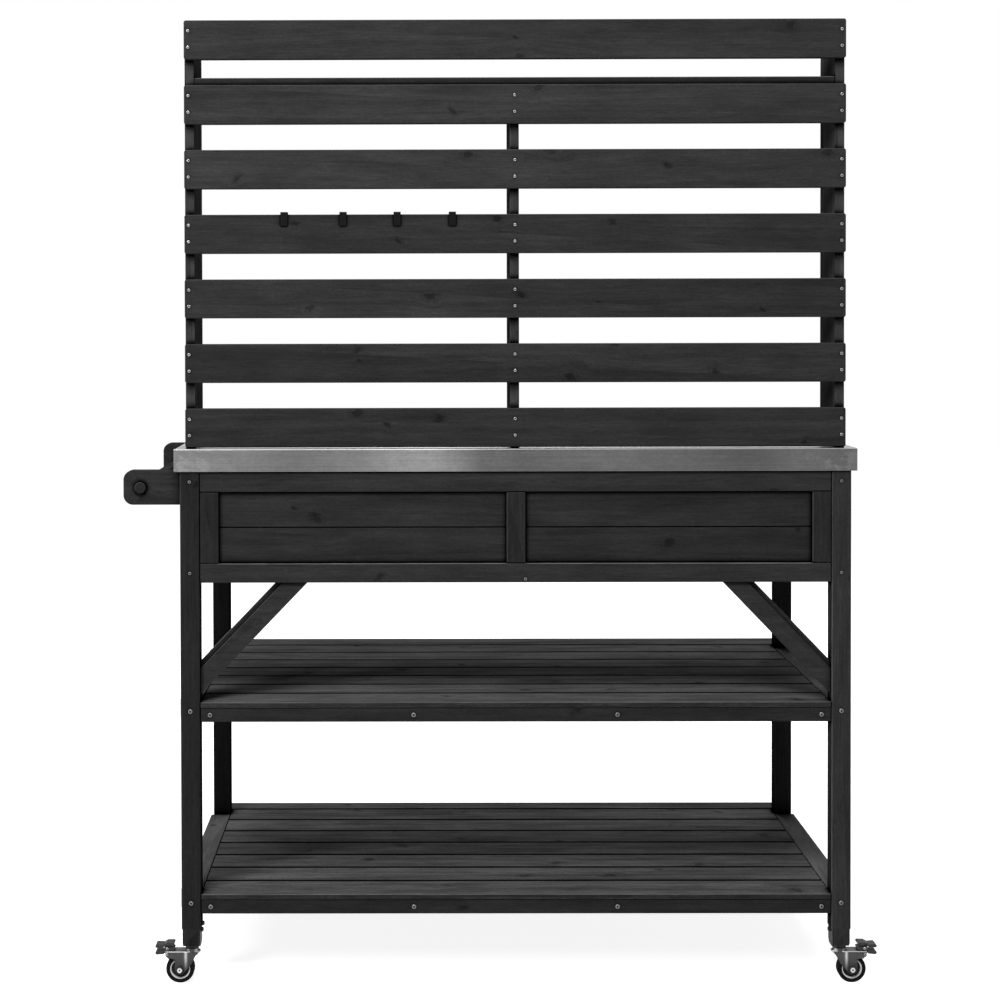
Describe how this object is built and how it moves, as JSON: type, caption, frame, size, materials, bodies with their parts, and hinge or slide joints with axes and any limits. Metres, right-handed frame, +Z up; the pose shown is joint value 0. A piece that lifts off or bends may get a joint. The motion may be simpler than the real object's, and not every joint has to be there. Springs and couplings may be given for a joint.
{
  "type": "potting bench",
  "caption": "Stained softwood potting bench with steel worktop, slatted back with top shelf and hooks, two slatted shelves, drawers, push handle and braked swivel casters.",
  "frame": {"origin": "centre of the overall footprint on the floor", "axes": "+Z up, -Y the closed back with the slats and braces, +Y the working front with the drawers, -X the end with the push handle"},
  "size_m": [1.332, 0.632, 1.699],
  "materials": {
    "stained_wood": "black water-based stain over softwood grain",
    "handle_wood": "black stain on a turned dowel",
    "knob_wood": "black stain",
    "inner_wood": "thinly stained inner wood",
    "worktop_steel": "galvanised sheet, dull",
    "plated_steel": "zinc plated pressed steel",
    "zinc_hardware": "bright zinc",
    "hook_steel": "black powder coat",
    "tread_plastic": "moulded grey",
    "wheel_core": "moulded grey",
    "tyre_rubber": "matt black"
  },
  "bodies": {
    "frame": {"apron_bottom_rails": "stained_wood", "apron_top_rails": "stained_wood", "back_battens": "stained_wood", "back_panel_boards": "stained_wood", "backrest_slats": "stained_wood", "caster_kingpins": "zinc_hardware", "caster_sockets": "plated_steel", "corner_braces": "stained_wood", "drawer_divider": "stained_wood", "drawer_runners": "inner_wood", "end_panels": "stained_wood", "handle_bar": "handle_wood", "handle_plates": "stained_wood", "hutch_middle": "stained_wood", "hutch_sides": "stained_wood", "leg_back_left": "stained_wood", "leg_back_right": "stained_wood", "leg_front_left": "stained_wood", "leg_front_right": "stained_wood", "lower_shelf_bearers": "stained_wood", "lower_shelf_boards": "stained_wood", "lower_shelf_rails": "stained_wood", "middle_shelf_bearers": "stained_wood", "middle_shelf_boards": "stained_wood", "middle_shelf_rails": "stained_wood", "socket_screws": "zinc_hardware", "top_shelf": "stained_wood", "wood_screws": "zinc_hardware", "worktop_core": "inner_wood", "worktop_sheet": "worktop_steel"},
    "brake_back_left": {"brake_lever_back_left": "plated_steel", "brake_treads_back_left": "tread_plastic"},
    "brake_back_right": {"brake_lever_back_right": "plated_steel", "brake_treads_back_right": "tread_plastic"},
    "caster_back_left": {"caster_axle_back_left": "zinc_hardware", "caster_fork_back_left": "plated_steel"},
    "caster_back_right": {"caster_axle_back_right": "zinc_hardware", "caster_fork_back_right": "plated_steel"},
    "caster_front_left": {"caster_axle_front_left": "zinc_hardware", "caster_fork_front_left": "plated_steel"},
    "caster_front_right": {"caster_axle_front_right": "zinc_hardware", "caster_fork_front_right": "plated_steel"},
    "roller_back_left": {"caster_tyre_back_left": "tyre_rubber", "caster_wheel_back_left": "wheel_core"},
    "roller_back_right": {"caster_tyre_back_right": "tyre_rubber", "caster_wheel_back_right": "wheel_core"},
    "roller_front_left": {"caster_tyre_front_left": "tyre_rubber", "caster_wheel_front_left": "wheel_core"},
    "roller_front_right": {"caster_tyre_front_right": "tyre_rubber", "caster_wheel_front_right": "wheel_core"},
    "drawer_left": {"drawer_box_left": "inner_wood", "drawer_front_left": "stained_wood", "drawer_knob_left": "knob_wood"},
    "drawer_right": {"drawer_box_right": "inner_wood", "drawer_front_right": "stained_wood", "drawer_knob_right": "knob_wood"},
    "hook_body_1": {"hook_1": "hook_steel"},
    "hook_body_2": {"hook_2": "hook_steel"},
    "hook_body_3": {"hook_3": "hook_steel"},
    "hook_body_4": {"hook_4": "hook_steel"}
  },
  "joints": [
    {"name": "drawer_left_slide", "type": "slide", "parent": "frame", "child": "drawer_left", "axis": [0, 1, 0], "range_m": [0, 0.38]},
    {"name": "drawer_right_slide", "type": "slide", "parent": "frame", "child": "drawer_right", "axis": [0, 1, 0], "range_m": [0, 0.38]},
    {"name": "hook_1_slide", "type": "slide", "parent": "frame", "child": "hook_body_1", "axis": [1, 0, 0], "range_m": [-0.15, 0.04]},
    {"name": "hook_2_slide", "type": "slide", "parent": "frame", "child": "hook_body_2", "axis": [1, 0, 0], "range_m": [-0.04, 0.04]},
    {"name": "hook_3_slide", "type": "slide", "parent": "frame", "child": "hook_body_3", "axis": [1, 0, 0], "range_m": [-0.038, 0.038]},
    {"name": "hook_4_slide", "type": "slide", "parent": "frame", "child": "hook_body_4", "axis": [1, 0, 0], "range_m": [-0.038, 0.085]},
    {"name": "swivel_back_left", "type": "hinge", "parent": "frame", "child": "caster_back_left", "pos_m": [-0.5445, -0.2966, 0.06], "axis": [0, 0, 1], "continuous": true},
    {"name": "roll_back_left", "type": "hinge", "parent": "caster_back_left", "child": "roller_back_left", "pos_m": [-0.5655, -0.2966, 0.025], "axis": [0, 1, 0], "continuous": true},
    {"name": "lock_back_left", "type": "hinge", "parent": "caster_back_left", "child": "brake_back_left", "pos_m": [-0.5863, -0.2966, 0.0532], "axis": [0, -1, 0], "range_deg": [0, 6.5]},
    {"name": "swivel_back_right", "type": "hinge", "parent": "frame", "child": "caster_back_right", "pos_m": [0.6015, -0.2966, 0.06], "axis": [0, 0, 1], "continuous": true},
    {"name": "roll_back_right", "type": "hinge", "parent": "caster_back_right", "child": "roller_back_right", "pos_m": [0.6225, -0.2966, 0.025], "axis": [0, 1, 0], "continuous": true},
    {"name": "lock_back_right", "type": "hinge", "parent": "caster_back_right", "child": "brake_back_right", "pos_m": [0.6433, -0.2966, 0.0532], "axis": [0, 1, 0], "range_deg": [0, 6.5]},
    {"name": "swivel_front_left", "type": "hinge", "parent": "frame", "child": "caster_front_left", "pos_m": [-0.5445, 0.2194, 0.06], "axis": [0, 0, 1], "continuous": true},
    {"name": "roll_front_left", "type": "hinge", "parent": "caster_front_left", "child": "roller_front_left", "pos_m": [-0.5445, 0.2404, 0.025], "axis": [1, 0, 0], "continuous": true},
    {"name": "swivel_front_right", "type": "hinge", "parent": "frame", "child": "caster_front_right", "pos_m": [0.6015, 0.2194, 0.06], "axis": [0, 0, 1], "continuous": true},
    {"name": "roll_front_right", "type": "hinge", "parent": "caster_front_right", "child": "roller_front_right", "pos_m": [0.6015, 0.2404, 0.025], "axis": [1, 0, 0], "continuous": true}
  ]
}
